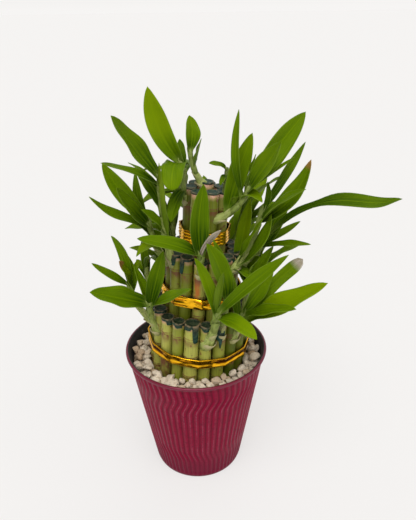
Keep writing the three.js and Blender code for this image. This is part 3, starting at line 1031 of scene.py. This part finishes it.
def arc(start, turn, control, end):
    """A curve from start by way of a control point, both given as distance out and height in mm.
    It returns the matrix of a point there: x across, y above the line, z along it."""
    out = heading(turn)
    across = Vector((out.y, -out.x, 0))

    def at(share):
        bend = 2 * share * (1 - share)
        distance = bend * control[0] + share * share * end[0]
        height = bend * control[1] + share * share * end[1]
        steer = 1 - 2 * share
        pitch = atan2(steer * control[1] + share * end[1], steer * control[0] + share * end[0])
        along = out * cos(pitch) + Vector((0, 0, sin(pitch)))
        above = Vector((0, 0, cos(pitch))) - out * sin(pitch)
        place = Matrix((across, above, along)).transposed().to_4x4()
        place.translation = start + (out * distance + Vector((0, 0, height))) * MM
        return place

    return at


def stem_line(layout, spot):
    start = spot + Vector((0, 0, layout["foot"] * MM))
    rise = layout["top"] - layout["foot"]
    return arc(start, layout["turn"], (0.8 * layout["reach"], 0.3 * rise), (layout["reach"], rise))


# %% Shape of a stem
stem_sides = 12
cup_length = 8.5
cup_rings = [(0.0, 0.97), (0.5, 1.0), (0.97, 1.04)]
stem_point = [(1.0, 0.75), (1.04, 0.35)]


def stem_radius(layout, share):
    """The stem thins towards its end."""
    return layout["thick"] * MM * (1 - 0.3 * share)


def foot_swell(share):
    """The stem is swollen where it breaks out of the cane."""
    return 1 + 0.5 * (1 - smooth((share - 0.05) / 0.4))


def stem(shape, layers, layout, spot):
    """Extrude a disc along the line of the shoot, as a stack of cups that ends in a point."""
    line = stem_line(layout, spot)
    rise = layout["top"] - layout["foot"]
    cups = max(3, round(hypot(rise, layout["reach"]) / cup_length))
    rings = [((cup + up) / cups, swell) for cup in range(cups) for up, swell in cup_rings]
    disc = bmesh.ops.create_circle(shape, cap_ends=True, segments=stem_sides, radius=1)
    ring_verts = disc["verts"]
    verts = list(ring_verts)
    edges = list({edge for vert in ring_verts for edge in vert.link_edges})
    before = Matrix.Identity(4)
    for share, swell in rings + stem_point:
        here = line(share) @ Matrix.Scale(stem_radius(layout, share) * foot_swell(share) * swell, 4)
        if share > 0:
            grown = bmesh.ops.extrude_edge_only(shape, edges=edges)["geom"]
            ring_verts = [item for item in grown if isinstance(item, bmesh.types.BMVert)]
            edges = [item for item in grown if isinstance(item, bmesh.types.BMEdge)]
            verts += ring_verts
        bmesh.ops.transform(shape, matrix=here @ before.inverted(), verts=ring_verts)
        before = here
        for vert in ring_verts:
            local = here.inverted() @ vert.co
            vert[layers["around"]] = abs(atan2(local.x, local.y)) / pi
            vert[layers["along"]] = share * rise
            vert[layers["tint"]] = 0.3 + 0.6 * (1 - smooth(share / 0.8))
            vert[layers["ring"]] = 0.6 if swell > 1 and share < 0.12 else 0.0
    bmesh.ops.edgeloop_fill(shape, edges=edges)
    faces = faces_of(verts)
    bmesh.ops.recalc_face_normals(shape, faces=list(faces))
    for face in faces:
        face.material_index = 2


# %% [markdown]
# ## Leaves
# A leaf is a long blade folded along its midrib, widest near the middle and drawn out to a point. A
# grid is the natural start: its columns become the veins and its rows the steps towards the tip.
# Its corners are moved by a formula for the outline, the fold, the roll and a little waviness, and a
# Solidify modifier gives it thickness and the paler underside. At its base sits a sheath, a slim
# cone round the stem. A few sheaths on each stem have lost their leaf and are dry.

# %% Finishes of the leaves
leaf_rust = (0.26, 0.14, 0.035)
leaf_straw, leaf_withered = (0.58, 0.53, 0.44), (0.22, 0.16, 0.10)


def leaf_finish(name, dark, middle, bright, base):
    """Green by its tint, partly painted light and shade, with fine veins along it, a pale base and dead
    patches.
    """
    finish = new_finish(name, {
        "Roughness": 0.42, "Specular IOR Level": 0.12, "Specular Tint": (0.9, 1.0, 0.2)})
    where = put(finish.node_tree, "UVMap", uv_map="leaf").outputs["UV"]
    veins = clouds(where, stretch=(26, 1.2, 1))
    cloud = minus(times(grain(finish, 30, detail=2), 0.5), 0.25)
    shade = plus(attribute(finish, "tint"), cloud)
    off_rib = worked_out("ABSOLUTE", minus(axes_of(where)["X"], 0.5))
    drive(finish, "Base Color", coats(dark, [
        (between(shade, 0.0, 0.5), middle),
        (between(shade, 0.5, 1.0), bright),
        (times(between(veins, 0.4, 0.65), 0.35), bright),
        (times(between(off_rib, 0.035, 0.01), 0.35), bright),
        (times(between(off_rib, 0.455, 0.49), 0.4), base),
        (times(between(axes_of(where)["Y"], 0.16, 0.0), 0.85), base),
        (attribute(finish, "rust"), leaf_rust),
        (attribute(finish, "dead"), blend(between(veins, 0.62, 0.38), leaf_straw, leaf_withered)),
    ]))
    relief(finish, veins, 0.25 * MM)
    return finish


leaf_top = leaf_finish(
    "leaf_top", dark=(0.010, 0.046, 0.001), middle=(0.078, 0.150, 0.001),
    bright=(0.180, 0.270, 0.001), base=(0.200, 0.280, 0.040))
leaf_under = leaf_finish(
    "leaf_underside", dark=(0.034, 0.082, 0.005), middle=(0.092, 0.158, 0.008),
    bright=(0.200, 0.275, 0.014), base=(0.225, 0.285, 0.060))
tell(leaf_top)
tell(leaf_under)

# %% Shape of a leaf
leaf_columns = 8
leaf_rows = 26
leaf_thick = 0.45 * MM
clasp_share = 0.3
waist_depth, waist_reach = 0.45, 0.1
dead_edge, rust_edge = 0.03, 0.06
nowhere = 2  # a share of the length that lies beyond the tip
plain_leaf = dict(sway=0, wave=0, bend=0.5, blunt=0, fold=1, waist=nowhere, dead=0, white_tip=nowhere,
                  brown_tip=nowhere)


def leaf_half_width(share, blunt):
    """Half width at a share of the length, as a share of the greatest half width. A blunt blade keeps
    its width up to the share "blunt" and is rounded off from there."""
    if not blunt:
        return (1 - share) ** 0.85 * (0.22 + 3.2 * share)
    return min(0.35 + 4 * share, sqrt(max(0, 1 - (max(0, share - blunt) / (1 - blunt)) ** 2)))


def leaf(shape, layers, start, sizes, clasp, rng):
    """A blade from its seat to its tip. Its base is wide enough to clasp the stem."""
    turn, rise, length, width, bow, twist, _, shade, *special = sizes
    marks = plain_leaf | (special[0] if special else {})
    steep, bend = radians(rise), marks["bend"]
    up, out = length * sin(steep), length * cos(steep)
    control = (out * bend - 2 * bow * sin(steep), up * bend + 2 * bow * cos(steep))
    midrib = arc(start, turn, control, (out, up))
    waves, phase = rng.uniform(1.2, 2.4), rng.uniform(0, 2 * pi)
    ripple, curl = rng.uniform(0.08, 0.2), rng.uniform(-14, 14)
    verts = bmesh.ops.create_grid(shape, x_segments=leaf_columns, y_segments=leaf_rows, size=1)["verts"]
    for vert in verts:
        side, share = vert.co.x, (vert.co.y + 1) / 2
        for loop in vert.link_loops:
            loop[layers["leaf"]].uv = ((side + 1) / 2, share)
        half = max(width / 2 * leaf_half_width(share, marks["blunt"]),
                   min(clasp, width / 2) * (1 - smooth(share / clasp_share)))
        half *= 1 - waist_depth * bell(share - marks["waist"], waist_reach)
        fold = 0.3 + 0.6 * (1 - share) ** 1.5
        lift = half * fold * marks["fold"] * (sqrt(side * side + 0.01) - 0.1)
        lift += half * ripple * side * side * sin(2 * pi * waves * share + phase + 1.3 * side)
        roll = radians(twist + curl * (share - 0.3))
        across = side * half * cos(roll) - lift * sin(roll)
        across += marks["sway"] * sin(pi * share)
        above = side * half * sin(roll) + lift * cos(roll)
        above += marks["wave"] * sin(2 * pi * share)
        vert.co = midrib(share) @ (Vector((across, above, 0)) * MM)
        # Painted shade: the tint drops towards the base of the blade, where the leaves crowd round the
        # stem.
        vert[layers["tint"]] = shade + 0.12 - 0.5 * (1 - smooth(share / 0.65))
        vert[layers["dead"]] = marks["dead"] + smooth((share - marks["white_tip"]) / dead_edge)
        vert[layers["rust"]] = smooth((share - marks["brown_tip"]) / rust_edge)
    bmesh.ops.remove_doubles(shape, verts=verts, dist=join_within)


# %% Shape of a sheath
sheath_length = 13 * MM
sheath_sides = 14
sheath_top = 0.5 * MM
sheath_slope = (-1, 0, 0.6)


def sheath(shape, layers, line, seat, turn, radius, flare, shade, dry):
    """The clasping base of a leaf: a slim cone round the stem, cut aslant below the blade."""
    made = bmesh.ops.create_cone(shape, cap_ends=False, segments=sheath_sides, radius1=radius * 0.98,
                                 radius2=radius * flare, depth=sheath_length)["verts"]
    parts = made + list({edge for vert in made for edge in vert.link_edges}) + list(faces_of(made))
    left = bmesh.ops.bisect_plane(shape, geom=parts, plane_co=(0, 0, sheath_top), plane_no=sheath_slope,
                                  clear_outer=True)["geom"]
    verts = [item for item in left if isinstance(item, bmesh.types.BMVert)]
    place = line(seat)
    along = place.col[2].xyz
    aim = heading(turn)
    side = (aim - along * aim.dot(along)).normalized()
    frame_here = Matrix((side, along.cross(side), along)).transposed().to_4x4()
    frame_here.translation = place.translation
    for vert in verts:
        vert[layers["around"]] = abs(atan2(vert.co.y, vert.co.x)) / pi
        vert[layers["along"]] = vert.co.z / MM
        vert[layers["dead"]] = dry * smooth(vert.co.z / (5 * MM))
        vert[layers["tint"]] = shade
    bmesh.ops.transform(shape, matrix=frame_here, verts=verts)
    for face in faces_of(verts):
        face.material_index = 2


# %% [markdown]
# ## The stalks
# A stalk is one cane with the shoots that grow from it. Each becomes two pieces, the cane with its
# wax and stems, and its leaves, and both stand for the same solid of the construction model. A
# shoot belongs to the cane that is nearest in its tier, as in the construction model.

# %% Which shoots and drips belong to a stalk
front_drips = {
    "stalk_outer_01": [(-62, 15, 0.42), (-128, 2, 0.5)],
    "stalk_outer_02": [(-95, 1.5, 0.6)],
    "stalk_outer_03": [(-100, 13, 0.5), (-70, 9, 0.4)],
    "stalk_outer_20": [(-90, 1.5, 0.6)],
    "stalk_outer_19": [(-70, 3, 0.5)],
    "stalk_middle_01": [(-140, 12, 0.4)],
    "stalk_middle_02": [(-100, 1, 0.5)],
}


def is_mine(layout, tier, turn):
    apart = abs((turn - layout["near"] + 540) % 360 - 180)
    return layout["tier"] == tier and apart < 180 / tiers[tier]["count"]


def shoots_of(tier, turn):
    """The shoots of the cane at this turn, from the list and from the back."""
    back = [back_layout(plan["near"], plan["top"], plan["lift"])
            for plan in back_shoots if is_mine(plan, tier, turn)]
    return [layout for layout in shoots if is_mine(layout, tier, turn)] + back


def drips_for(node, tier, turn, rng):
    """Angle, length and half width of each drip, on the side that faces out."""
    if node in front_drips:
        return [(radians(angle), length * MM, width) for angle, length, width in front_drips[node]]
    longest = tiers[tier]["drip"] * MM
    if not longest:
        return []
    return [(radians(turn + offset + rng.uniform(-12, 12)), rng.random() ** 3 * longest,
             rng.uniform(0.3, 0.45)) for offset in (-32, 28)]


# %% One shoot with its leaves
bare_sheaths = {0.14: 0.7, 0.3: 0.2, 0.44: 0.5}


def layers_of(shape, names):
    layers = {name: shape.verts.layers.float.new(name) for name in names}
    layers["leaf"] = shape.loops.layers.uv.new("leaf")
    return layers


def dress_shoot(layout, spot, shape, layers, rng):
    """The sheaths and leaves of a shoot. Bare sheaths have lost their leaf and are partly dry."""
    line = stem_line(layout, spot)
    for index, (seat, dry) in enumerate(bare_sheaths.items()):
        way = layout["turn"] + 180 * (index % 2)
        radius = stem_radius(layout, seat) * foot_swell(seat)
        sheath(shape, layers, line, seat, way, radius, 1.08, 0.9 - 0.9 * seat, dry)
    for sizes in layout["leaves"]:
        turn, seat = sizes[0], sizes[6]
        radius = stem_radius(layout, seat)
        leaf(shape, layers, line(seat).translation, sizes, radius / MM, rng)
        sheath(shape, layers, line, seat, turn, radius, 1.3, 0.3, 0)


# %% Make every stalk


def make_stalk(node, tier, turn, rng):
    """Both pieces of a stalk. It returns how many leaves the stalk has."""
    size = tiers[tier]
    thick, ring = odd_canes.get(node, (cane_radius / MM - rng.uniform(0, 0.35), size["ring"]))
    spot = heading(turn) * ring * MM
    top = (size["top"] + cane_top_play * (draw() - 0.5)) * MM
    place = tower @ Matrix.Translation(spot)

    shape = bmesh.new()
    layers = layers_of(shape, ("tint", "ring", "bark", "stain", "around", "along"))
    cane(shape, layers, place, node, tier, thick * MM, top, rng)
    drips = drips_for(node, tier, turn, rng)
    wax_cap(shape, layers, place, thick * MM, top, drips, size["bloom"], size["skirt"] * MM)

    layouts = shoots_of(tier, turn)
    if layouts:
        leaf_shape = bmesh.new()
        leaf_layers = layers_of(leaf_shape, ("tint", "dead", "rust", "around", "along"))
        for layout in layouts:
            stem(shape, layers, layout, spot)
            dress_shoot(layout, spot, leaf_shape, leaf_layers, rng)
        stems = [vert for vert in shape.verts if any(face.material_index == 2 for face in vert.link_faces)]
        bmesh.ops.transform(shape, matrix=tower, verts=stems)
        bmesh.ops.transform(leaf_shape, matrix=tower, verts=leaf_shape.verts)
        leaves = piece_from(leaf_shape, "leaves_" + node[6:], [leaf_top, leaf_under, stem_skin],
                            [node])
        thickness = leaves.modifiers.new("leaf thickness", "SOLIDIFY")
        thickness.thickness = leaf_thick
        thickness.offset = -1
        thickness.material_offset = 1
    piece_from(shape, "cane_" + node[6:], [skin, wax, stem_skin], [node])
    return sum(len(layout["leaves"]) for layout in layouts)


leaf_counts = {}
for tier, size in tiers.items():
    leaf_counts[tier] = 0
    for number in range(size["count"]):
        turn = size["first"] + number * 360 / size["count"]
        node = f"stalk_{tier}_{number + 1:02d}" if size["count"] > 1 else f"stalk_{tier}"
        leaf_counts[tier] += make_stalk(node, tier, turn, random.Random(node))
print("leaves on each tier:", leaf_counts)
